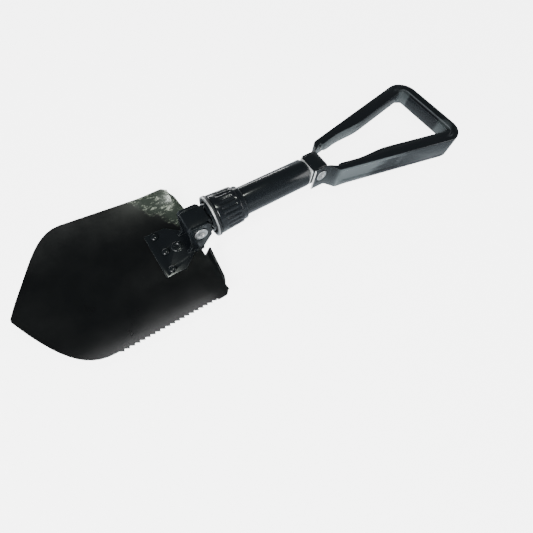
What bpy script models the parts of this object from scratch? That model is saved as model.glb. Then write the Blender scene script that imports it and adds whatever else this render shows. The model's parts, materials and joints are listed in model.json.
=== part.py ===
"""Folding camp shovel, open and lying on its back.

The blade's flat middle rests on Z = 0 with its hollow side up, +X runs from the blade to the grip, and the saw
edge is on the -Y side. The model's origin is under the middle of the blade's flat. The constants below and the
functions measure X from the blade's hinge, which stands HINGE_X past the origin: there the shaft folds up and
over the blade. Everything past that hinge is built level, then tilted up by LIFT with its pivot. The grip folds
about a second hinge at HANDLE_X. Metres throughout.
"""

import math

import bmesh
import bpy
from mathutils import Vector

MM = 0.001
GAP = 0.3 * MM

# Overall layout
HINGE_X = 60.0 * MM
PIVOT_Z = 22.5 * MM
HANDLE_X = 116.0 * MM
GRIP_X = 264.0 * MM
SHEET = 1.5 * MM
LIFT = math.radians(1.0)

# Blade
TIP_X = -138.0 * MM
KINK_X = -88.0 * MM
SHOULDER_X = -3.0 * MM
TIP_HALF = 1.2 * MM
KINK_HALF = 57.0 * MM
SHOULDER_HALF = 52.3 * MM
SAW_SHOULDER_HALF = 57.5 * MM
OGIVE = 2.1
FLAT_HALF = 20.0 * MM
SIDE_RISE = 10.5 * MM
TIP_RISE = 8.0 * MM
TIP_RISE_START = -85.0 * MM
TEETH = 20
TOOTH_PITCH = 3.6 * MM
TOOTH_DEPTH = 2.0 * MM
TOOTH_STEP = 0.3 * MM
TEETH_START = -86.0 * MM
LUG = 2.4 * MM
CORNER_LIFT = 3.0 * MM
CORNER_LENGTH = 26.0 * MM
STEP_INNER = 17.5 * MM
STEP_OUTER = 49.0 * MM
STEP_LENGTH = 13.5 * MM
STEP_BEND_R = 2.6 * MM
EDGE_LENGTH = 1.0 * MM

# Hinge at the blade
BLOCK_HALF = 7.6 * MM
BLOCK_HEIGHT = 8.2 * MM
BLOCK_END = 11.0 * MM
SPIGOT_R = 10.0 * MM
SPIGOT_END = 36.0 * MM
EAR_THICK = 2.4 * MM
EAR_FLAT = 9.0 * MM
EAR_CORNER = 2.6 * MM
PLATE_THICK = 1.8 * MM
PLATE_FRONT = -37.0 * MM
PLATE_BACK = 1.0 * MM
PLATE_HALF = 21.0 * MM
NECK_HALF = 11.4 * MM
RIVET_R = 1.9 * MM
RIVET_HEAD_R = 3.3 * MM
RIVET_HEAD = 1.9 * MM
RIVET_SPOTS = ((-30.0 * MM, 16.5 * MM), (-28.0 * MM, 0.0), (-30.0 * MM, -16.5 * MM))
RIVET_NAMES = ("bracket_rivet_plain_side", "bracket_rivet_middle", "bracket_rivet_saw_side")
BOSS_X = -18.0 * MM
BOSS_R = 4.6 * MM
BOSS_HEIGHT = 1.0 * MM
EYELET_R = 4.0 * MM
EYELET_BORE = 3.2 * MM
EYELET_LIP = 5.4 * MM
EYELET_LIP_THICK = 0.9 * MM

# Shaft and collar
TUBE_R = 11.6 * MM
TUBE_WALL = 1.3 * MM
TUBE_START = BLOCK_END + GAP
TUBE_END = HANDLE_X - 10.2 * MM
TUBE_TAPER = 3.5 * MM
TUBE_CLOSING = 3.0 * MM
SOCKET = (TUBE_END + GAP, HANDLE_X + 5.8 * MM)
SOCKET_HALF = 8.8 * MM
SOCKET_TOP = 8.2 * MM
SOCKET_BOTTOM = -8.6 * MM
SOCKET_SPIGOT = 24.0 * MM
PIN_R = 1.6 * MM
PIN_SPOTS = (22.0 * MM, 30.0 * MM)
SLEEVE = (18.0 * MM, 31.0 * MM)
SLEEVE_R = 13.1 * MM
THREAD_DEPTH = 0.5 * MM
THREAD_PITCH = 2.0 * MM
RING = (12.5 * MM, 16.0 * MM)
RING_R = 16.6 * MM
RING_BORE = 13.4 * MM
COLLAR = (RING[1] + GAP, 41.0 * MM)
COLLAR_BORE = 13.5 * MM
COLLAR_LIP_BORE = 12.0 * MM
COLLAR_LIP_START = 35.0 * MM
COLLAR_RIBS = 24
COLLAR_GROOVE = 0.8 * MM

# Handle
HANDLE_SHEET = 1.4 * MM
ROOT_OUTER = SOCKET_HALF + GAP + HANDLE_SHEET
ROOT_FLARE = 9.0 * MM
GRIP_HALF = 47.0 * MM
GRIP_CORNER_R = 17.0 * MM
GRIP_WIDTH = 13.5 * MM
HANDLE_TOP = 8.0 * MM
ROOT_DROP = 14.0 * MM
ARM_DROP = 12.5 * MM
GRIP_DROP = 10.5 * MM
HEM_R = 1.2 * MM
RECESS_DEPTH = 1.2 * MM
DIMPLE_DEPTH = 0.8 * MM
HANDLE_EYELET_R = 3.6 * MM
HANDLE_EYELET_BORE = 2.9 * MM

BLACK_PAINT = ((0.012, 0.013, 0.015), 0.28, 0.3)
SATIN_PAINT = ((0.010, 0.011, 0.012), 0.42, 0.3)
PLATED_STEEL = ((0.55, 0.56, 0.57), 0.3, 1.0)
PLAIN_STEEL = ((0.30, 0.30, 0.31), 0.45, 1.0)

FROM_ORIGIN = Vector((HINGE_X, 0.0, 0.0))


# ---------------------------------------------------------------- helpers


def smooth(value):
    """0 below 0, 1 above 1, and an even S between them."""
    value = min(max(value, 0.0), 1.0)
    return value * value * (3.0 - 2.0 * value)


def blend(low, high, share):
    return low + (high - low) * share


def clear_scene():
    for obj in list(bpy.data.objects):
        bpy.data.objects.remove(obj, do_unlink=True)


def make_material(name, finish):
    colour, roughness, metallic = finish
    material = bpy.data.materials.new(name)
    material.use_nodes = True
    shader = material.node_tree.nodes["Principled BSDF"]
    shader.inputs["Base Color"].default_value = (*colour, 1.0)
    shader.inputs["Roughness"].default_value = roughness
    shader.inputs["Metallic"].default_value = metallic
    return material


def add_empty(name, location, parent=None, lift=0.0):
    empty = bpy.data.objects.new(name, None)
    empty.empty_display_size = 0.01
    bpy.context.scene.collection.objects.link(empty)
    empty["place"] = location
    empty.location = Vector(location) - Vector(parent["place"]) if parent else Vector(location) + FROM_ORIGIN
    empty.rotation_euler.y = -lift
    empty.parent = parent
    return empty


def add_object(name, shape, finish=None, parent=None):
    """Makes an object of a bmesh that is measured from the hinge, with its origin on its parent's axis."""
    shift = -Vector(parent["place"]) if parent else FROM_ORIGIN
    bmesh.ops.translate(shape, verts=shape.verts, vec=shift)
    bmesh.ops.recalc_face_normals(shape, faces=shape.faces)
    mesh = bpy.data.meshes.new(name)
    shape.to_mesh(mesh)
    shape.free()
    mesh.shade_smooth()
    mesh.set_sharp_from_angle(angle=math.radians(35))
    obj = bpy.data.objects.new(name, mesh)
    bpy.context.scene.collection.objects.link(obj)
    obj.parent = parent
    if finish:
        mesh.materials.append(make_material(name, finish))
    return obj


def combine(obj, shape, name, operation="DIFFERENCE"):
    """Cuts a bmesh that is measured from the hinge from an object, or joins it on."""
    tool = add_object(f"{obj.name}_{name}", shape, parent=obj.parent)
    tool.hide_render = True
    tool.display_type = "WIRE"
    modifier = obj.modifiers.new(name, "BOOLEAN")
    modifier.operation = operation
    modifier.solver = "EXACT"
    modifier.object = tool


def loft(sections, closed=False):
    """Joins rings of points. A ring of one point is a pole; closed joins the last ring to the first."""
    shape = bmesh.new()
    rings = [[shape.verts.new(point) for point in section] for section in sections]
    pairs = list(zip(rings, rings[1:]))
    if closed:
        pairs.append((rings[-1], rings[0]))
    for first, second in pairs:
        count = max(len(first), len(second))
        for i in range(count):
            j = (i + 1) % count
            if len(first) == 1:
                shape.faces.new((first[0], second[i], second[j]))
            elif len(second) == 1:
                shape.faces.new((first[i], first[j], second[0]))
            else:
                shape.faces.new((first[i], first[j], second[j], second[i]))
    if not closed:
        for ring in (rings[0], rings[-1]):
            if len(ring) > 2:
                shape.faces.new(ring)
    return shape


def along(axis, distance, first, second):
    """A point distance along an axis, with the other two coordinates in order."""
    others = {"X": (1, 2), "Y": (2, 0), "Z": (0, 1)}[axis]
    point = [0.0, 0.0, 0.0]
    point["XYZ".index(axis)] = distance
    point[others[0]] = first
    point[others[1]] = second
    return Vector(point)


def turned(profile, axis, centre, segments):
    """Turns (distance, radius) points about an axis through centre. A profile that meets the axis is a solid."""
    rings = []
    for distance, radius in profile:
        if radius == 0.0:
            rings.append([centre + along(axis, distance, 0.0, 0.0)])
            continue
        angles = [2.0 * math.pi * i / segments for i in range(segments)]
        rings.append(
            [centre + along(axis, distance, radius * math.cos(a), radius * math.sin(a)) for a in angles]
        )
    return loft(rings, closed=profile[0][1] > 0.0)


def rod(axis, centre, low, high, radius, segments=24):
    return turned([(low, 0.0), (low, radius), (high, radius), (high, 0.0)], axis, centre, segments)


def prism(outline, axis, low, high):
    """Extrudes an outline of two coordinates along an axis."""
    return loft([[along(axis, place, *point) for point in outline] for place in (low, high)])


def rounded(points, radius, steps=4):
    """A closed outline with each corner replaced by an arc of about this radius."""
    outline = []
    for i, point in enumerate(points):
        corner = Vector(point)
        before = (Vector(points[i - 1]) - corner).normalized()
        after = (Vector(points[(i + 1) % len(points)]) - corner).normalized()
        half = before.angle(after) / 2.0
        reach = radius / math.tan(half)
        start = corner + before * reach
        end = corner + after * reach
        for k in range(steps + 1):
            share = k / steps
            first = start.lerp(corner, share)
            outline.append(tuple(first.lerp(corner.lerp(end, share), share)))
    return outline


# ---------------------------------------------------------------- blade


def blade_half(x, shoulder_half):
    """Half the blade's width: a blunt ogive to the kink, then a side that runs straight to the shoulder."""
    if x < KINK_X:
        share = (x - TIP_X) / (KINK_X - TIP_X)
        return blend(TIP_HALF, KINK_HALF, 1.0 - (1.0 - share) ** OGIVE)
    return blend(KINK_HALF, shoulder_half, (x - KINK_X) / (SHOULDER_X - KINK_X))


def corner_cut(x):
    """How far the shoulder's rounded corner has closed in."""
    return 1.6 * MM * smooth((x - SHOULDER_X + 4.0 * MM) / (4.0 * MM)) ** 2


def blade_rise(x, y):
    side = max(abs(y) - FLAT_HALF, 0.0) / (KINK_HALF - FLAT_HALF)
    tip = max(TIP_RISE_START - x, 0.0) / (TIP_RISE_START - TIP_X)
    corner = smooth((x - SHOULDER_X + CORNER_LENGTH) / CORNER_LENGTH) if y > 0.0 else 0.0
    return (SIDE_RISE + CORNER_LIFT * corner) * side**2 + TIP_RISE * tip**2


def blade_stations():
    """(x, how far the saw edge stands out) from the tip to the shoulder, with two stations for each tooth."""
    stations = [(blend(TIP_X, KINK_X, (i / 14) ** 1.4), 0.0) for i in range(14)]
    stations.append((KINK_X, 0.0))
    for i in range(TEETH):
        root = TEETH_START + i * TOOTH_PITCH
        stations.append((root, 0.0))
        stations.append((root + TOOTH_PITCH - TOOTH_STEP, TOOTH_DEPTH))
    last = TEETH_START + TEETH * TOOTH_PITCH
    stations += [(last, 0.0), (last + 0.8 * MM, LUG), (-9.0 * MM, LUG), (-6.0 * MM, 0.9 * LUG)]
    stations += [(-4.5 * MM, 0.6 * LUG), (SHOULDER_X, 0.0)]
    return stations


def step_length(y):
    """How much sheet is turned up along the shoulder at this y."""
    y = abs(y)
    if y < STEP_INNER or y > STEP_OUTER:
        return EDGE_LENGTH
    share = (STEP_OUTER - y) / (STEP_OUTER - STEP_INNER)
    return blend(EDGE_LENGTH, STEP_LENGTH, share**0.8)


def turned_up(y, length):
    """(x, z, bend angle) after this length of sheet past the shoulder."""
    flat = EDGE_LENGTH
    if length <= flat:
        return SHOULDER_X + length, 0.0, 0.0
    angle = min((length - flat) / STEP_BEND_R, math.radians(78))
    straight = max(length - flat - STEP_BEND_R * angle, 0.0)
    x = SHOULDER_X + flat + STEP_BEND_R * math.sin(angle) + straight * math.cos(angle)
    z = STEP_BEND_R * (1.0 - math.cos(angle)) + straight * math.sin(angle)
    return x, z, angle


def blade_columns():
    """Shares of the half width, fine at both ends of each step flange."""
    places = [0.0, 16.7, 17.5, 20.0, 25.0, 30.0, 36.0, 42.0, 46.0, 49.0, 52.0, 54.5]
    shares = [place / places[-1] for place in places]
    return [-share for share in reversed(shares[1:])] + shares


def blade_places(x, tooth):
    """Where the columns stand across the blade at this x, the saw edge first."""
    plain = blade_half(x, SHOULDER_HALF) - corner_cut(x)
    saw = blade_half(x, SAW_SHOULDER_HALF) - corner_cut(x)
    places = [share * (saw if share < 0.0 else plain) for share in blade_columns()]
    places[0] -= tooth
    return places


def make_blade():
    top, bottom = [], []
    columns = blade_columns()
    for x, tooth in blade_stations():
        ys = blade_places(x, tooth)
        top.append([Vector((x, y, SHEET + blade_rise(x, y))) for y in ys])
        bottom.append([Vector((x, y, blade_rise(x, y))) for y in ys])
    ys = blade_places(SHOULDER_X, 0.0)
    for row in range(1, 10):
        upper, lower = [], []
        for y in ys:
            x, z, angle = turned_up(y, step_length(y) * row / 9)
            centre = Vector((x, y, SHEET / 2 + blade_rise(SHOULDER_X, y) + z))
            normal = Vector((-math.sin(angle), 0.0, math.cos(angle)))
            upper.append(centre + normal * SHEET / 2)
            lower.append(centre - normal * SHEET / 2)
        top.append(upper)
        bottom.append(lower)
    sections = [upper + lower[::-1] for upper, lower in zip(top, bottom)]
    shape = loft(sections)
    for face in [f for f in shape.faces if len(f.verts) > 4]:
        bmesh.ops.delete(shape, geom=[face], context="FACES_ONLY")
    shape.verts.ensure_lookup_table()
    width, ring = len(columns), 2 * len(columns)
    for start in (0, len(sections) * ring - ring):
        verts = shape.verts[start : start + ring]
        for i in range(width - 1):
            shape.faces.new((verts[i], verts[i + 1], verts[ring - 2 - i], verts[ring - 1 - i]))
    blade = add_object("blade", shape, SATIN_PAINT)
    for name, (x, y) in zip(RIVET_NAMES, RIVET_SPOTS):
        hole = turned(
            [
                (-1.0 * MM, 0.0),
                (-1.0 * MM, RIVET_HEAD_R + 2.5 * MM),
                (1.15 * MM, RIVET_R + GAP),
                (4.0 * MM, RIVET_R + GAP),
                (4.0 * MM, 0.0),
            ],
            "Z",
            Vector((x, y, 0.0)),
            20,
        )
        combine(blade, hole, f"hole_{name}")
    return blade


def make_bracket():
    low = SHEET + GAP
    high = low + PLATE_THICK
    plate = rounded(
        [
            (PLATE_FRONT, -PLATE_HALF),
            (-20.0 * MM, -PLATE_HALF),
            (-8.0 * MM, -NECK_HALF),
            (PLATE_BACK, -NECK_HALF),
            (PLATE_BACK, NECK_HALF),
            (-8.0 * MM, NECK_HALF),
            (-20.0 * MM, PLATE_HALF),
            (PLATE_FRONT, PLATE_HALF),
        ],
        1.6 * MM,
    )
    bracket = add_object("hinge_bracket", prism(plate, "Z", low, high), BLACK_PAINT)
    ear = rounded(
        [
            (-14.0 * MM, low + 0.4 * MM),
            (-EAR_FLAT, PIVOT_Z - 14.0 * MM),
            (-EAR_FLAT, PIVOT_Z + EAR_FLAT - EAR_CORNER),
            (-EAR_FLAT + EAR_CORNER, PIVOT_Z + EAR_FLAT),
            (EAR_FLAT - EAR_CORNER, PIVOT_Z + EAR_FLAT),
            (EAR_FLAT, PIVOT_Z + EAR_FLAT - EAR_CORNER),
            (EAR_FLAT, PIVOT_Z - 7.0 * MM),
            (0.0, low + 0.4 * MM),
        ],
        0.9 * MM,
        3,
    )
    inner = BLOCK_HALF + GAP
    for side, name in ((1, "plain"), (-1, "saw")):
        ends = sorted((side * inner, side * (inner + EAR_THICK)))
        outline = [(z, x) for x, z in ear]
        combine(bracket, prism(outline, "Y", *ends), f"ear_{name}_side", "UNION")
    boss = [
        (low + 0.5 * MM, 0.0),
        (low + 0.5 * MM, BOSS_R),
        (high + 0.5 * MM, BOSS_R),
        (high + BOSS_HEIGHT, BOSS_R - 0.9 * MM),
        (high + BOSS_HEIGHT, BOSS_R - 2.2 * MM),
        (high + 0.3 * MM, BOSS_R - 2.9 * MM),
        (high + 0.3 * MM, 0.0),
    ]
    combine(bracket, turned(boss, "Z", Vector((BOSS_X, 0.0, 0.0)), 28), "boss", "UNION")
    pivot = Vector((0.0, 0.0, PIVOT_Z))
    combine(bracket, rod("Y", pivot, -20 * MM, 20 * MM, EYELET_R + GAP, 32), "pivot_hole")
    for name, (x, y) in zip(RIVET_NAMES, RIVET_SPOTS):
        hole = rod("Z", Vector((x, y, 0.0)), 0.5 * MM, 8 * MM, RIVET_R + GAP, 20)
        combine(bracket, hole, f"hole_{name}")


def make_bracket_rivets():
    head = SHEET + GAP + PLATE_THICK + GAP
    profile = [
        (0.25 * MM, 0.0),
        (0.25 * MM, RIVET_HEAD_R),
        (0.5 * MM, RIVET_HEAD_R - 0.35 * MM),
        (1.1 * MM, RIVET_R),
        (head, RIVET_R),
        (head, RIVET_HEAD_R),
    ]
    for i in range(1, 5):
        angle = math.radians(90 * i / 5)
        profile.append((head + RIVET_HEAD * math.sin(angle), RIVET_HEAD_R * math.cos(angle)))
    profile.append((head + RIVET_HEAD, 0.0))
    for name, (x, y) in zip(RIVET_NAMES, RIVET_SPOTS):
        add_object(name, turned(profile, "Z", Vector((x, y, 0.0)), 20), BLACK_PAINT)


def make_eyelet(name, centre, half_span, radius, bore, lip, parent):
    """A hollow rivet through two walls, with a rolled lip outside each."""
    inner = half_span + GAP
    outer = inner + EYELET_LIP_THICK
    side = [
        (inner, radius),
        (inner, lip),
        (inner + 0.4 * MM, lip + 0.15 * MM),
        (outer, lip - 0.5 * MM),
        (outer, bore + 0.5 * MM),
        (outer - 0.4 * MM, bore),
    ]
    profile = side + [(-y, r) for y, r in reversed(side)]
    add_object(name, turned(profile, "Y", centre, 28), PLATED_STEEL, parent)


# ---------------------------------------------------------------- shaft


def make_block(parent):
    side = rounded(
        [
            (PIVOT_Z - BLOCK_HEIGHT, -BLOCK_HEIGHT),
            (PIVOT_Z - BLOCK_HEIGHT, BLOCK_END),
            (PIVOT_Z + BLOCK_HEIGHT, BLOCK_END),
            (PIVOT_Z + BLOCK_HEIGHT, -BLOCK_HEIGHT),
        ],
        1.6 * MM,
        3,
    )
    block = add_object("hinge_block", prism(side, "Y", -BLOCK_HALF, BLOCK_HALF), BLACK_PAINT, parent)
    centre = Vector((0.0, 0.0, PIVOT_Z))
    spigot = [
        (8.0 * MM, 0.0),
        (8.0 * MM, BLOCK_HALF - 0.5 * MM),
        (BLOCK_END + 0.3 * MM, BLOCK_HALF - 0.5 * MM),
        (BLOCK_END + 1.6 * MM, SPIGOT_R),
        (SPIGOT_END - 1.0 * MM, SPIGOT_R),
        (SPIGOT_END, SPIGOT_R - 1.0 * MM),
        (SPIGOT_END, 0.0),
    ]
    combine(block, turned(spigot, "X", centre, 40), "spigot", "UNION")
    combine(block, rod("Y", centre, -20 * MM, 20 * MM, EYELET_R + GAP, 32), "pivot_hole")
    for i, x in enumerate(PIN_SPOTS):
        hole = rod("Z", Vector((x, 0.0, PIVOT_Z)), -20 * MM, 20 * MM, PIN_R + GAP, 16)
        combine(block, hole, f"pin_hole_{i + 1}")


def make_pins(parent):
    half = TUBE_R - 0.35 * MM
    for i, x in enumerate(PIN_SPOTS):
        profile = [
            (-half, 0.0),
            (-half, PIN_R - 0.3 * MM),
            (-half + 0.3 * MM, PIN_R),
            (half - 0.3 * MM, PIN_R),
            (half, PIN_R - 0.3 * MM),
            (half, 0.0),
        ]
        pin = turned(profile, "Z", Vector((x, 0.0, PIVOT_Z)), 16)
        add_object(f"block_pin_{i + 1}", pin, PLAIN_STEEL, parent)


def make_tube(parent):
    inner = TUBE_R - TUBE_WALL
    profile = [
        (TUBE_START, inner),
        (TUBE_START, TUBE_R),
        (TUBE_END - TUBE_TAPER, TUBE_R),
        (TUBE_END, TUBE_R - TUBE_CLOSING),
        (TUBE_END, inner - TUBE_CLOSING),
        (TUBE_END - TUBE_TAPER - 0.6 * MM, inner),
    ]
    centre = Vector((0.0, 0.0, PIVOT_Z))
    tube = add_object("shaft_tube", turned(profile, "X", centre, 56), BLACK_PAINT, parent)
    for i, x in enumerate(PIN_SPOTS):
        hole = rod("Z", Vector((x, 0.0, PIVOT_Z)), -20 * MM, 20 * MM, PIN_R + GAP, 16)
        combine(tube, hole, f"pin_hole_{i + 1}")


def make_socket(parent):
    """The squared end of the shaft, which the handle's cheeks straddle, with a spigot inside the tube."""
    low, high = SOCKET
    side = rounded(
        [
            (-SOCKET_HALF, PIVOT_Z + SOCKET_BOTTOM),
            (SOCKET_HALF, PIVOT_Z + SOCKET_BOTTOM),
            (SOCKET_HALF, PIVOT_Z + SOCKET_TOP),
            (-SOCKET_HALF, PIVOT_Z + SOCKET_TOP),
        ],
        1.4 * MM,
        4,
    )
    socket = add_object("handle_socket", prism(side, "X", low, high), BLACK_PAINT, parent)
    inner = TUBE_R - TUBE_WALL - GAP
    start = TUBE_END - TUBE_TAPER - 0.6 * MM
    spigot = [
        (low - SOCKET_SPIGOT, 0.0),
        (low - SOCKET_SPIGOT, inner - 0.8 * MM),
        (low - SOCKET_SPIGOT + 0.8 * MM, inner),
        (start, inner),
        (TUBE_END, inner - TUBE_CLOSING),
        (low + 2.0 * MM, inner - TUBE_CLOSING),
        (low + 2.0 * MM, 0.0),
    ]
    centre = Vector((0.0, 0.0, PIVOT_Z))
    combine(socket, turned(spigot, "X", centre, 40), "spigot", "UNION")
    bore = Vector((HANDLE_X, 0.0, PIVOT_Z))
    combine(socket, rod("Y", bore, -20 * MM, 20 * MM, HANDLE_EYELET_R + GAP, 28), "rivet_hole")


def make_sleeve(parent):
    low, high = SLEEVE
    turns = int((high - low - 1.0 * MM) / THREAD_PITCH)
    profile = [(low, TUBE_R + GAP), (low, SLEEVE_R - THREAD_DEPTH)]
    for i in range(turns):
        start = low + 0.5 * MM + i * THREAD_PITCH
        profile.append((start + 0.25 * THREAD_PITCH, SLEEVE_R - THREAD_DEPTH))
        profile.append((start + 0.45 * THREAD_PITCH, SLEEVE_R))
        profile.append((start + 0.75 * THREAD_PITCH, SLEEVE_R))
        profile.append((start + 0.95 * THREAD_PITCH, SLEEVE_R - THREAD_DEPTH))
    profile += [(high, SLEEVE_R - THREAD_DEPTH), (high, TUBE_R + GAP)]
    centre = Vector((0.0, 0.0, PIVOT_Z))
    add_object("threaded_sleeve", turned(profile, "X", centre, 32), PLAIN_STEEL, parent)


def make_ring(parent):
    low, high = RING
    edge = 0.7 * MM
    profile = [
        (low, RING_BORE + 0.4 * MM),
        (low, RING_R - edge),
        (low + 0.2 * MM, RING_R - 0.2 * MM),
        (low + edge, RING_R),
        (high - edge, RING_R),
        (high, RING_R - edge),
        (high, RING_BORE),
        (low + 0.4 * MM, RING_BORE),
    ]
    centre = Vector((0.0, 0.0, PIVOT_Z))
    add_object("thrust_ring", turned(profile, "X", centre, 56), PLATED_STEEL, parent)


def collar_radius(x, angle):
    """The collar's outer surface: a taper with a band at each end and grooves between."""
    share = (x - COLLAR[0]) / (COLLAR[1] - COLLAR[0])
    base = blend(15.9 * MM, 14.6 * MM, share)
    if share > 0.82:
        base = 13.7 * MM
    window = smooth((share - 0.16) / 0.1) * (1.0 - smooth((share - 0.66) / 0.1))
    wave = 0.5 + 0.5 * math.cos(COLLAR_RIBS * angle)
    return base - COLLAR_GROOVE * window * smooth(1.8 * wave - 0.6)


def make_collar(parent):
    low, high = COLLAR
    shares = (0.0, 0.03, 0.14, 0.19, 0.26, 0.46, 0.66, 0.71, 0.76, 0.81, 0.83, 0.97, 1.0)
    count = COLLAR_RIBS * 4
    rings = []
    for share in shares:
        x = blend(low, high, share)
        inset = 0.5 * MM if share in (0.0, 1.0) else 0.0
        ring = []
        for i in range(count):
            angle = 2.0 * math.pi * i / count
            radius = collar_radius(x, angle) - inset
            ring.append(Vector((x, radius * math.cos(angle), PIVOT_Z + radius * math.sin(angle))))
        rings.append(ring)
    bore = [
        (high, COLLAR_LIP_BORE),
        (COLLAR_LIP_START, COLLAR_LIP_BORE),
        (COLLAR_LIP_START - 1.2 * MM, COLLAR_BORE),
        (low, COLLAR_BORE),
    ]
    for x, radius in bore:
        ring = []
        for i in range(count):
            angle = 2.0 * math.pi * i / count
            ring.append(Vector((x, radius * math.cos(angle), PIVOT_Z + radius * math.sin(angle))))
        rings.append(ring)
    add_object("locking_collar", loft(rings, closed=True), BLACK_PAINT, parent)


# ---------------------------------------------------------------- handle


def arm_outer(u):
    """Half the handle's outer width at u past its hinge: parallel cheeks, a flare, then straight arms."""
    slope = (GRIP_HALF - ROOT_OUTER - ROOT_FLARE) / (GRIP_X - HANDLE_X - 14.0 * MM)
    flare = ROOT_FLARE * smooth((u - 5.0 * MM) / (9.0 * MM))
    return ROOT_OUTER + flare + slope * max(u - 14.0 * MM, 0.0)


def handle_path():
    """Points of the outer face, from the saw side's root round the grip to the plain side's root."""
    length = GRIP_X - HANDLE_X
    slope = (arm_outer(length) - arm_outer(length / 2)) / (length / 2)
    turn = math.pi / 2 + math.atan(slope)
    reach = GRIP_CORNER_R * math.tan(turn / 2)
    along_arm = Vector((1.0, slope)).normalized()
    corner = Vector((length, arm_outer(length)))
    start = corner - along_arm * reach
    marks = [-7.5, -1, 5, 6, 7, 8, 9, 10, 11, 12, 13, 14, 17, 20, 24, 28, 33, 39, 46, 53, 60, 67, 73, 78, 83, 90]
    marks += [98, 106, 114, 122, 128]
    side = [Vector((u * MM, arm_outer(u * MM))) for u in marks if u * MM < start.x - 2 * MM]
    side.append(start)
    inward = Vector((along_arm.y, -along_arm.x))
    middle = start + inward * GRIP_CORNER_R
    for i in range(1, 11):
        angle = turn * i / 10
        spoke = -inward * math.cos(angle) + along_arm * math.sin(angle)
        side.append(middle + spoke * GRIP_CORNER_R)
    end = side[-1].y
    grip = [Vector((length, end * (1.0 - 2.0 * i / 12))) for i in range(1, 12)]
    near = [Vector((p.x, -p.y)) for p in side]
    return near + [Vector((p.x, -p.y)) for p in grip] + side[::-1]


def web_inner(u):
    """How close to the middle the top face may come and still swing past the socket and the tube's end."""
    swing = math.hypot(u, HANDLE_TOP)
    opening = min(max((swing - HANDLE_X + TUBE_END) / TUBE_TAPER, 0.0), 1.0)
    return max(ROOT_OUTER - HANDLE_SHEET, TUBE_R - TUBE_CLOSING * (1.0 - opening) + 1.5 * GAP)


def web_width(u):
    """The top face widens from a hem at the cheeks to a broad arm."""
    wanted = blend(8.0 * MM, 12.5 * MM, smooth((u - 30.0 * MM) / (35.0 * MM)))
    return max(min(wanted, arm_outer(u) - web_inner(u)), HANDLE_SHEET + 0.1 * MM)


def handle_section(u, grip_share):
    """The sheet's outline at a station, as (inward, up) points. grip_share is 1 on the grip, 0 on the arms."""
    sheet = HANDLE_SHEET
    width = blend(web_width(u), GRIP_WIDTH, grip_share)
    top = HANDLE_TOP
    grown = smooth((u - 7.0 * MM) / (16.0 * MM))
    drop = blend(blend(-ROOT_DROP, -ARM_DROP, grown), -GRIP_DROP, grip_share)
    inner_drop = blend(top - sheet - 0.05 * MM, -3.0 * MM, grown)
    lip = min(sheet, max(width - sheet - 0.05 * MM, 0.1 * MM))
    recess = RECESS_DEPTH * smooth((u - 14 * MM) / (6 * MM)) * (1.0 - smooth((u - 72 * MM) / (10 * MM)))
    dimple = DIMPLE_DEPTH * smooth((u - 126 * MM) / (6 * MM)) * (1.0 - grip_share)
    groove = 0.7 * MM * grip_share
    sunk = max(dimple, groove)
    levels = [drop, drop + 3 * MM, drop + 4.5 * MM, top - 4.5 * MM, top - 3 * MM]
    depths = [0.0, 0.0, recess, recess, 0.0]
    outer = [(depth, level) for depth, level in zip(depths, levels)]
    outer += [(0.0, top - HEM_R), (0.3 * HEM_R, top - 0.3 * HEM_R), (min(HEM_R, width / 3), top)]
    outer += [(width * 0.36, top), (width * 0.45, top - sunk), (width * 0.55, top - sunk), (width * 0.64, top)]
    edge = min(HEM_R, width / 3)
    outer += [(width - edge, top), (width - 0.3 * edge, top - 0.3 * HEM_R), (width, top - HEM_R)]
    outer += [(width, inner_drop), (width - lip, inner_drop)]
    under = top - sheet
    outer += [(width - lip, under), (width * 0.55, under - sunk), (width * 0.45, under - sunk)]
    wall = min(sheet, width - lip - 0.02 * MM)
    outer += [(wall, under)] + [(wall + d, min(z, under - 0.5 * MM)) for d, z in zip(depths, levels)][::-1]
    return outer


def make_handle(parent):
    path = handle_path()
    sections = []
    for i, point in enumerate(path):
        before = path[max(i - 1, 0)]
        after = path[min(i + 1, len(path) - 1)]
        tangent = (after - before).normalized()
        inward = Vector((-tangent.y, tangent.x))
        grip_share = smooth((point.x - (GRIP_X - HANDLE_X) + 6.0 * MM) / (5.0 * MM))
        section = []
        for depth, height in handle_section(point.x, grip_share):
            place = point + inward * depth
            section.append(Vector((HANDLE_X + place.x, place.y, PIVOT_Z + height)))
        sections.append(section)
    handle = add_object("d_handle", loft(sections), BLACK_PAINT, parent)
    bore = Vector((HANDLE_X, 0.0, PIVOT_Z))
    combine(handle, rod("Y", bore, -20 * MM, 20 * MM, HANDLE_EYELET_R + GAP, 28), "rivet_hole")


def main():
    clear_scene()
    shaft_pivot = add_empty("shaft_pivot", (0.0, 0.0, PIVOT_Z), lift=LIFT)
    handle_pivot = add_empty("handle_pivot", (HANDLE_X, 0.0, PIVOT_Z), shaft_pivot)
    make_blade()
    make_bracket()
    make_bracket_rivets()
    ear_outside = BLOCK_HALF + GAP + EAR_THICK
    pivot = Vector((0.0, 0.0, PIVOT_Z))
    make_eyelet("blade_pivot_rivet", pivot, ear_outside, EYELET_R, EYELET_BORE, EYELET_LIP, None)
    make_block(shaft_pivot)
    make_pins(shaft_pivot)
    make_tube(shaft_pivot)
    make_socket(shaft_pivot)
    make_sleeve(shaft_pivot)
    make_ring(shaft_pivot)
    make_collar(shaft_pivot)
    make_handle(handle_pivot)
    end = Vector((HANDLE_X, 0.0, PIVOT_Z))
    make_eyelet(
        "handle_pivot_rivet",
        end,
        ROOT_OUTER,
        HANDLE_EYELET_R,
        HANDLE_EYELET_BORE,
        HANDLE_EYELET_R + 1.3 * MM,
        handle_pivot,
    )


main()
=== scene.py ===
"""Looks for the folding camp shovel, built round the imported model."""

import json
import math

import bmesh
import bpy
from mathutils import Matrix, Vector

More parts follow.
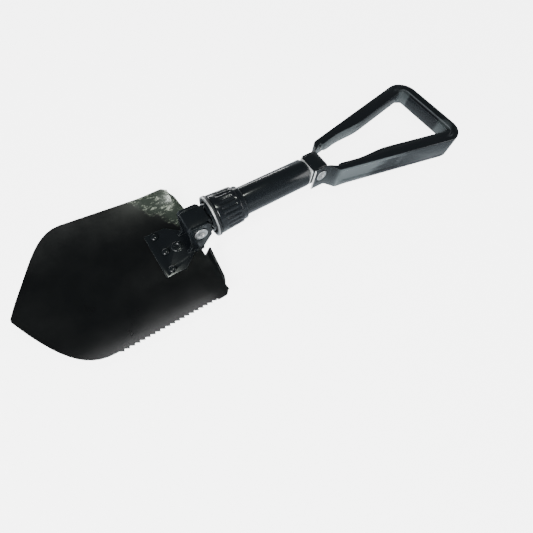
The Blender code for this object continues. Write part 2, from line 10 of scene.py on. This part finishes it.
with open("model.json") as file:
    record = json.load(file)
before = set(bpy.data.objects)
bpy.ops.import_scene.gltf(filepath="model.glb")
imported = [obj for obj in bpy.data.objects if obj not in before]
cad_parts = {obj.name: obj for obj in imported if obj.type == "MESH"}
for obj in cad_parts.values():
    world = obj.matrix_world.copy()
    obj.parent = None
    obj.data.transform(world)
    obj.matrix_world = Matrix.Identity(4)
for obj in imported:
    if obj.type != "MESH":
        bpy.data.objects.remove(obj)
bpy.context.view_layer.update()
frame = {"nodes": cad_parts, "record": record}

MM = 0.001

# ---------------------------------------------------------------- camera, floor and lights

CAMERA_PLACE = Vector((18.4, -132.7, 225.7)) * MM
CAMERA_LOOK = Vector((0.305, 0.325, -0.895))
CAMERA_UP = Vector((0.461, 0.772, 0.437))
CAMERA_LENS = 20.92
CAMERA_SENSOR = 36.0
CAMERA_NEAR = 0.01

FLOOR_SIZE = 6.0
FLOOR_DROP = 1.5 * MM
FLOOR_WHITE = 0.97
FLOOR_GLOW = 5.0

# The room's brightness over height, from straight down at 0 to straight up at 1.
ROOM_STOPS = ((0.0, 1.1), (0.2, 0.5), (0.42, 0.42), (0.52, 0.7), (0.6, 0.3), (0.7, 0.08), (1.0, 0.07))
ROOM_TINT = Vector((0.86, 0.95, 1.0))
ROOM_STRENGTH = 1.2

WHITE = (1.0, 1.0, 1.0)
GREENISH = (0.93, 1.0, 0.9)


def place_camera():
    data = bpy.data.cameras.new("camera")
    data.sensor_width = CAMERA_SENSOR
    data.lens = CAMERA_LENS
    data.clip_start = CAMERA_NEAR
    camera = bpy.data.objects.new("camera", data)
    bpy.context.scene.collection.objects.link(camera)
    back = -CAMERA_LOOK.normalized()
    right = CAMERA_UP.cross(back).normalized()
    up = back.cross(right)
    turn = Matrix((right, up, back)).transposed().to_4x4()
    camera.matrix_world = Matrix.Translation(CAMERA_PLACE) @ turn
    bpy.context.scene.camera = camera


def place_floor():
    """A pale floor with a light of its own, left out of reflections so that black paint stays black."""
    shape = bmesh.new()
    bmesh.ops.create_grid(shape, x_segments=1, y_segments=1, size=FLOOR_SIZE)
    mesh = bpy.data.meshes.new("floor")
    shape.to_mesh(mesh)
    shape.free()
    floor = bpy.data.objects.new("floor", mesh)
    floor.location.z = -FLOOR_DROP
    bpy.context.scene.collection.objects.link(floor)
    material = bpy.data.materials.new("pale_floor")
    material.use_nodes = True
    shader = shader_of(material.node_tree)
    shader.inputs["Base Color"].default_value = (FLOOR_WHITE, FLOOR_WHITE, FLOOR_WHITE, 1.0)
    shader.inputs["Roughness"].default_value = 1.0
    shader.inputs["Specular IOR Level"].default_value = 0.0
    shader.inputs["Emission Color"].default_value = (*WHITE, 1.0)
    shader.inputs["Emission Strength"].default_value = FLOOR_GLOW
    mesh.materials.append(material)
    floor.visible_glossy = False


def add_light(name, place, target, size, energy, colour=WHITE):
    """A rectangular light at a place, in metres, turned to a target."""
    data = bpy.data.lights.new(name, "AREA")
    data.shape = "RECTANGLE"
    data.size, data.size_y = size
    data.energy = energy
    data.color = colour
    light = bpy.data.objects.new(name, data)
    light.location = place
    light.rotation_euler = (Vector(target) - Vector(place)).to_track_quat("-Z", "Y").to_euler()
    bpy.context.scene.collection.objects.link(light)


def light_world():
    """A room that is bright straight down, softer at the horizon and dim overhead for flat paint to mirror."""
    world = bpy.data.worlds.new("studio")
    world.use_nodes = True
    tree = world.node_tree
    height = ranged(tree, parts_of(tree, coordinates(tree, "Generated"))["Z"], -1.0, 1.0)
    room = tree.nodes.new("ShaderNodeValToRGB")
    tree.links.new(height, room.inputs["Fac"])
    ramp = room.color_ramp
    ramp.interpolation = "EASE"
    while len(ramp.elements) < len(ROOM_STOPS):
        ramp.elements.new(0.5)
    for element, (position, brightness) in zip(ramp.elements, ROOM_STOPS):
        element.position = position
        element.color = (*(ROOM_TINT * brightness), 1.0)
    background = tree.nodes["Background"]
    tree.links.new(room.outputs["Color"], background.inputs["Color"])
    background.inputs["Strength"].default_value = ROOM_STRENGTH
    bpy.context.scene.world = world


def light_scene():
    light_world()
    add_light("key", (-0.9, -0.7, 0.9), (0.05, 0.0, 0.0), (0.7, 0.7), 26.0)
    add_light("rim", (0.15, 1.1, 0.13), (0.1, 0.0, 0.02), (1.3, 0.1), 5.0)
    add_light("side", (1.0, -0.6, 0.45), (0.15, 0.0, 0.02), (0.5, 0.5), 3.5)
    corner = (0.045, 0.045, 0.01)
    add_light("corner_glint", (0.105, -0.02, 0.33), corner, (0.03, 0.03), 0.3, GREENISH)


# ---------------------------------------------------------------- node helpers

# The numbers of a Mix node's two inputs and its output, for each kind of value.
MIX_SOCKETS = {"FLOAT": (2, 3, 0), "RGBA": (6, 7, 2)}

# How like the true normal the rounded one is where an edge starts to show, and where it shows fully.
EDGE_NONE = 0.985
EDGE_FULL = 0.86
EDGE_SAMPLES = 4


def node(tree, kind, **values):
    """A new node, with its inputs set to fixed values."""
    made = tree.nodes.new(kind)
    for name, value in values.items():
        made.inputs[name.replace("_", " ")].default_value = value
    return made


def feed(tree, value, socket):
    """Joins a node's output to a socket, or sets the socket to a fixed number or colour."""
    if isinstance(value, bpy.types.NodeSocket):
        tree.links.new(value, socket)
    elif isinstance(value, tuple):
        socket.default_value = (*value, 1.0)
    else:
        socket.default_value = value


def shader_of(tree):
    return tree.nodes["Principled BSDF"]


def feeding(tree, name):
    """The output that feeds one of the shader's inputs now."""
    return shader_of(tree).inputs[name].links[0].from_socket


def coordinates(tree, kind):
    return tree.nodes.new("ShaderNodeTexCoord").outputs[kind]


def parts_of(tree, vector):
    """A vector's X, Y and Z."""
    made = tree.nodes.new("ShaderNodeSeparateXYZ")
    tree.links.new(vector, made.inputs[0])
    return made.outputs


def stretched(tree, vector, scale, turn=0.0):
    """The vector scaled along its axes, then turned about Z by an angle."""
    made = tree.nodes.new("ShaderNodeMapping")
    made.inputs["Rotation"].default_value = (0.0, 0.0, turn)
    made.inputs["Scale"].default_value = scale
    tree.links.new(vector, made.inputs["Vector"])
    return made.outputs["Vector"]


def noise(tree, vector, scale, detail=2.0, roughness=0.5):
    made = node(tree, "ShaderNodeTexNoise", Scale=scale, Detail=detail, Roughness=roughness)
    tree.links.new(vector, made.inputs["Vector"])
    return made.outputs["Fac"]


def ranged(tree, value, low, high, to_low=0.0, to_high=1.0):
    """The value taken from the range low to high into another range, and held inside it."""
    made = node(tree, "ShaderNodeMapRange", From_Min=low, From_Max=high, To_Min=to_low, To_Max=to_high)
    tree.links.new(value, made.inputs["Value"])
    return made.outputs["Result"]


def maths(tree, operation, first, second):
    made = tree.nodes.new("ShaderNodeMath")
    made.operation = operation
    feed(tree, first, made.inputs[0])
    feed(tree, second, made.inputs[1])
    return made.outputs[0]


def plus(tree, first, second):
    return maths(tree, "ADD", first, second)


def times(tree, first, second):
    return maths(tree, "MULTIPLY", first, second)


def mixed(tree, factor, first, second, kind="RGBA"):
    """The first colour or number at factor 0, and the second at factor 1."""
    made = tree.nodes.new("ShaderNodeMix")
    made.data_type = kind
    first_input, second_input, output = MIX_SOCKETS[kind]
    feed(tree, factor, made.inputs["Factor"])
    feed(tree, first, made.inputs[first_input])
    feed(tree, second, made.inputs[second_input])
    return made.outputs[output]


def spread_over(tree, factor, colour):
    """Lays a colour over whatever feeds the shader's base colour."""
    under = feeding(tree, "Base Color")
    tree.links.new(mixed(tree, factor, under, colour), shader_of(tree).inputs["Base Color"])


def add_relief(tree, height, distance, strength):
    """Adds fine relief on top of any that the shader has already."""
    bump = node(tree, "ShaderNodeBump", Distance=distance)
    feed(tree, strength, bump.inputs["Strength"])
    feed(tree, height, bump.inputs["Height"])
    if shader_of(tree).inputs["Normal"].is_linked:
        tree.links.new(feeding(tree, "Normal"), bump.inputs["Normal"])
    tree.links.new(bump.outputs["Normal"], shader_of(tree).inputs["Normal"])


def edge_mask(tree, radius):
    """Near 1 where the surface turns sharply within the radius, and 0 on flats."""
    bevel = node(tree, "ShaderNodeBevel", Radius=radius)
    bevel.samples = EDGE_SAMPLES
    geometry = tree.nodes.new("ShaderNodeNewGeometry")
    likeness = tree.nodes.new("ShaderNodeVectorMath")
    likeness.operation = "DOT_PRODUCT"
    tree.links.new(bevel.outputs[0], likeness.inputs[0])
    tree.links.new(geometry.outputs["Normal"], likeness.inputs[1])
    return ranged(tree, likeness.outputs["Value"], EDGE_NONE, EDGE_FULL)


def start_material(name):
    """A new material, its node tree and the place of each point in metres."""
    material = bpy.data.materials.new(name)
    material.use_nodes = True
    tree = material.node_tree
    return material, tree, coordinates(tree, "Object")


# ---------------------------------------------------------------- plain finishes

GLOSS_BLACK = (0.0075, 0.0095, 0.0115)
SATIN_BLACK = (0.0030, 0.0034, 0.0038)
# Pale edge colour: partly undercoat worn through, partly a painted edge highlight.
UNDERCOAT_AND_EDGE_HIGHLIGHT = (0.30, 0.32, 0.33)
PLATED = (0.86, 0.87, 0.88)
MACHINED = (0.42, 0.42, 0.43)

GLOSS = {"colour": GLOSS_BLACK, "roughness": 0.2, "spread": 0.05, "peel": 0.09}
RUB_AND_HIGHLIGHT_REACH = 0.35 * MM
DRIFT_SCALE = 38.0
PEEL_SCALE = 900.0
PAINT_RELIEF = 0.02 * MM

DULL_SCALE = 90.0
DULLING = 0.72
METAL_RELIEF = 0.02 * MM
METAL_RELIEF_STRENGTH = 0.06

# The scale of the turning marks along x, y and z. They lie closest along the axis with the largest value.
MARKS_ALONG_Y = (60.0, 900.0, 60.0)
MARKS_ALONG_X = (1500.0, 70.0, 70.0)


def paint(name, colour, roughness, spread, peel, edge_wear_and_highlight):
    """Sprayed enamel: fine orange peel, drifting gloss, and pale undercoat along the edges, partly worn
    through and partly a painted edge highlight.
    """
    material, tree, place = start_material(name)
    shader = shader_of(tree)
    drift = noise(tree, place, DRIFT_SCALE, 4.0, 0.6)
    fine = noise(tree, place, PEEL_SCALE)
    speckle = spread * 0.35
    gloss = ranged(tree, drift, 0.3, 0.7, roughness - spread, roughness + spread)
    gloss = plus(tree, gloss, ranged(tree, fine, 0.35, 0.65, -speckle, speckle))
    # Every edge gets some pale undercoat colour: partly wear, partly a painted highlight along the edges.
    rubbed_and_highlit = times(tree, edge_mask(tree, RUB_AND_HIGHLIGHT_REACH), ranged(tree, drift, 0.36, 0.6, 0.12, edge_wear_and_highlight))
    tree.links.new(mixed(tree, rubbed_and_highlit, colour, UNDERCOAT_AND_EDGE_HIGHLIGHT), shader.inputs["Base Color"])
    tree.links.new(plus(tree, gloss, times(tree, rubbed_and_highlit, 0.15)), shader.inputs["Roughness"])
    tree.links.new(times(tree, rubbed_and_highlit, 0.5), shader.inputs["Metallic"])
    add_relief(tree, plus(tree, fine, times(tree, drift, 0.8)), PAINT_RELIEF, peel)
    return material


def steel(name, colour, roughness, grain):
    """Bare metal with fine turning marks and a little dulling."""
    material, tree, place = start_material(name)
    shader = shader_of(tree)
    lines = noise(tree, stretched(tree, place, grain), 1.0, 3.0, 0.6)
    dull = noise(tree, place, DULL_SCALE, 3.0, 0.6)
    dulled = tuple(part * DULLING for part in colour)
    base = mixed(tree, ranged(tree, dull, 0.35, 0.75), colour, dulled)
    tree.links.new(base, shader.inputs["Base Color"])
    shader.inputs["Metallic"].default_value = 1.0
    lined = ranged(tree, lines, 0.3, 0.7, roughness - 0.06, roughness + 0.08)
    tree.links.new(plus(tree, lined, ranged(tree, dull, 0.3, 0.7, 0.0, 0.08)), shader.inputs["Roughness"])
    add_relief(tree, lines, METAL_RELIEF, METAL_RELIEF_STRENGTH)
    return material


# ---------------------------------------------------------------- finishes of single pieces

# Bright band colour: bare steel and a painted edge highlight.
BARE_AND_HIGHLIT_EDGE = (0.55, 0.56, 0.57)
# Painted sheen: a paler paint tone where the gloss shows reflections.
PAINTED_SHEEN = (0.048, 0.058, 0.062)

# The painted reflection in the blade's shoulder corner, which is also glossier and rippled there, grows along
# x and y over these stretches, in metres.
GLINT_DARK = (0.035, 0.045, 0.036)
GLINT_LIGHT = (0.42, 0.46, 0.38)
GLINT_X = (0.010, 0.058)
GLINT_Y = (-0.008, 0.054)
GLINT_ROUGHNESS = 0.2
GLINT_RELIEF = 0.12 * MM
WANDER_SCALE = 160.0
RIPPLE_SCALE = 800.0
STREAK_SCALE = 380.0
STREAK_ANGLE = math.radians(35.0)
STREAK_STRETCH = (0.4, 1.0, 1.0)

# The painted sheen in the grip's corner dimples: centre x and y, then reach in x and y, as shares of the
# handle's box.
HOLLOWS = ((0.91, 0.82, 0.045, 0.075), (0.935, 0.22, 0.04, 0.09))

# Stretches of bare steel with a painted edge highlight, as shares of the piece's length.
CHEEK_FRONT = (0.0, 0.0028)
SOCKET_LINE = (0.598, 0.612)

# The ring's bare rim, as shares of its box: how far out it starts and is full, and where it ends along x.
RIM_OUT = (0.455, 0.462)
RIM_BACK = (0.26, 0.34)


def blade_finish(name):
    """Satin enamel, glossier and rippled in the plain side's shoulder corner, with a streaky greenish painted
    reflection laid there.
    """
    material = paint(name, SATIN_BLACK, roughness=0.34, spread=0.06, peel=0.15, edge_wear_and_highlight=0.9)
    tree = material.node_tree
    place = coordinates(tree, "Object")
    parts = parts_of(tree, place)
    toward_corner = plus(tree, ranged(tree, parts["X"], *GLINT_X), ranged(tree, parts["Y"], *GLINT_Y))
    wander = ranged(tree, noise(tree, place, WANDER_SCALE, 4.0, 0.6), 0.3, 0.7, -0.07, 0.07)
    glint_patch = ranged(tree, plus(tree, toward_corner, wander), 1.28, 1.42)
    ripple = noise(tree, place, RIPPLE_SCALE, 3.0, 0.65)
    streak_pattern = noise(tree, stretched(tree, place, STREAK_STRETCH, STREAK_ANGLE), STREAK_SCALE, 3.0, 0.6)
    add_relief(tree, plus(tree, streak_pattern, times(tree, ripple, 0.35)), GLINT_RELIEF, glint_patch)
    # Streaky greenish painted reflection over the corner patch.
    glint_streaks = ranged(tree, plus(tree, streak_pattern, times(tree, ripple, 0.5)), 0.8, 0.98)
    spread_over(tree, glint_patch, mixed(tree, glint_streaks, GLINT_DARK, GLINT_LIGHT))
    roughness = mixed(tree, glint_patch, feeding(tree, "Roughness"), GLINT_ROUGHNESS, "FLOAT")
    tree.links.new(roughness, shader_of(tree).inputs["Roughness"])
    return material


def bare_and_highlit_band(material, low, high):
    """Paints a thin bright band across the piece, between two shares of its length: bare steel and a painted
    edge highlight.
    """
    tree = material.node_tree
    x = parts_of(tree, coordinates(tree, "Generated"))["X"]
    blur = (high - low) * 0.3
    starts = ranged(tree, x, low - blur, low)
    ends = ranged(tree, x, high, high + blur, 1.0, 0.0)
    spread_over(tree, times(tree, starts, ends), BARE_AND_HIGHLIT_EDGE)


def squared_share(tree, value, centre, reach):
    """The square of the distance from a centre, as a share of the reach."""
    share = times(tree, maths(tree, "SUBTRACT", value, centre), 1.0 / reach)
    return times(tree, share, share)


def handle_finish(name):
    """Gloss paint with painted sheen along the hems, near the root and in the grip's dimples, and bright front
    edges of bare steel with a painted highlight.
    """
    material = paint(name, edge_wear_and_highlight=0.9, **GLOSS)
    tree = material.node_tree
    box = coordinates(tree, "Generated")
    x, y, z = parts_of(tree, box)

    # Painted sheen along the lower hems, standing for the pale reflections there.
    hem_sheen = times(tree, ranged(tree, z, 0.06, 0.16, 0.75, 0.0), ranged(tree, x, 0.3, 0.6, 0.1, 1.0))
    spread_over(tree, hem_sheen, PAINTED_SHEEN)

    # Painted sheen on faces turned to -Y near the root: that side is made lighter because of how light falls
    # on it.
    sheen_side = ranged(tree, parts_of(tree, coordinates(tree, "Normal"))["Y"], -0.55, -0.85)
    wander = ranged(tree, noise(tree, box, 5.0), 0.3, 0.7, -0.06, 0.06)
    slanted = plus(tree, x, plus(tree, wander, times(tree, z, -0.2)))
    root_sheen = times(tree, ranged(tree, x, 0.09, 0.12), ranged(tree, slanted, 0.26, 0.34, 1.0, 0.0))
    spread_over(tree, times(tree, sheen_side, root_sheen), PAINTED_SHEEN)

    # Painted sheen in the grip's corner dimples.
    for centre_x, centre_y, reach_x, reach_y in HOLLOWS:
        far_x = squared_share(tree, x, centre_x, reach_x)
        far_y = squared_share(tree, y, centre_y, reach_y)
        spread_over(tree, ranged(tree, plus(tree, far_x, far_y), 0.5, 1.1, 0.8, 0.0), PAINTED_SHEEN)

    bare_and_highlit_band(material, *CHEEK_FRONT)
    return material


def socket_finish(name):
    """Gloss paint with one bright line across the socket: bare steel worn through, and a painted highlight."""
    material = paint(name, edge_wear_and_highlight=0.7, **GLOSS)
    bare_and_highlit_band(material, *SOCKET_LINE)
    return material


def ring_finish(name):
    """Black ring with its front rim worn to bright plating."""
    material = steel(name, PLATED, 0.4, MARKS_ALONG_Y)
    tree = material.node_tree
    shader = shader_of(tree)
    x, y, z = parts_of(tree, coordinates(tree, "Generated"))
    from_axis = plus(tree, squared_share(tree, y, 0.5, 1.0), squared_share(tree, z, 0.5, 1.0))
    far_out = ranged(tree, from_axis, *(reach**2 for reach in RIM_OUT))
    rim = times(tree, far_out, ranged(tree, x, *RIM_BACK, 1.0, 0.0))
    plating = feeding(tree, "Base Color")
    tree.links.new(mixed(tree, rim, GLOSS_BLACK, plating), shader.inputs["Base Color"])
    tree.links.new(rim, shader.inputs["Metallic"])
    return material


def make_materials():
    """Finishes by the name of a node that has its own, or else by material slot."""
    return {
        "blade_paint": blade_finish("blade_paint"),
        "thrust_ring": ring_finish("plated_rims"),
        "d_handle": handle_finish("handle_paint"),
        "handle_socket": socket_finish("socket_paint"),
        "gloss_paint": paint("gloss_paint", edge_wear_and_highlight=0.7, **GLOSS),
        "plated_steel": steel("plated_steel", PLATED, 0.38, MARKS_ALONG_Y),
        "bare_steel": steel("bare_steel", MACHINED, 0.34, MARKS_ALONG_X),
    }


# ---------------------------------------------------------------- pieces

SLOTS = {part["node"]: part["material_slot"] for part in frame["record"]["subparts"]}

# How wide each piece's rounded edges are, in mm.
BEVEL = 0.22
BEVELS = {
    "blade": 0.18,
    "d_handle": 0.25,
    "locking_collar": 0.12,
    "threaded_sleeve": 0.08,
    "thrust_ring": 0.12,
}
BEVEL_FROM = math.radians(32)

WELD_REACH = 0.01 * MM
FLAT_WITHIN = math.radians(0.6)

# The dished sheet keeps all its faces, and is shaded evenly across them.
DISHED = "blade"
DISHED_WEIGHT = 80


def dress(name, piece, materials):
    """Smooth shading with crisp, slightly rounded edges, and the piece's finish."""
    piece.data.materials.clear()
    piece.data.materials.append(materials.get(name) or materials[SLOTS[name]])
    weld = piece.modifiers.new("weld", "WELD")
    weld.merge_threshold = WELD_REACH
    if name != DISHED:
        flats = piece.modifiers.new("flats", "DECIMATE")
        flats.decimate_type = "DISSOLVE"
        flats.angle_limit = FLAT_WITHIN
    bevel = piece.modifiers.new("rounded_edges", "BEVEL")
    bevel.width = BEVELS.get(name, BEVEL) * MM
    bevel.segments = 2
    bevel.limit_method = "ANGLE"
    bevel.angle_limit = BEVEL_FROM
    bevel.use_clamp_overlap = True
    bevel.harden_normals = name != DISHED
    piece.data.shade_smooth()
    if name == DISHED:
        even = piece.modifiers.new("even_shading", "WEIGHTED_NORMAL")
        even.mode = "FACE_AREA_WITH_ANGLE"
        even.weight = DISHED_WEIGHT


place_camera()
place_floor()
light_scene()
finishes = make_materials()
for name, piece in frame["nodes"].items():
    dress(name, piece, finishes)
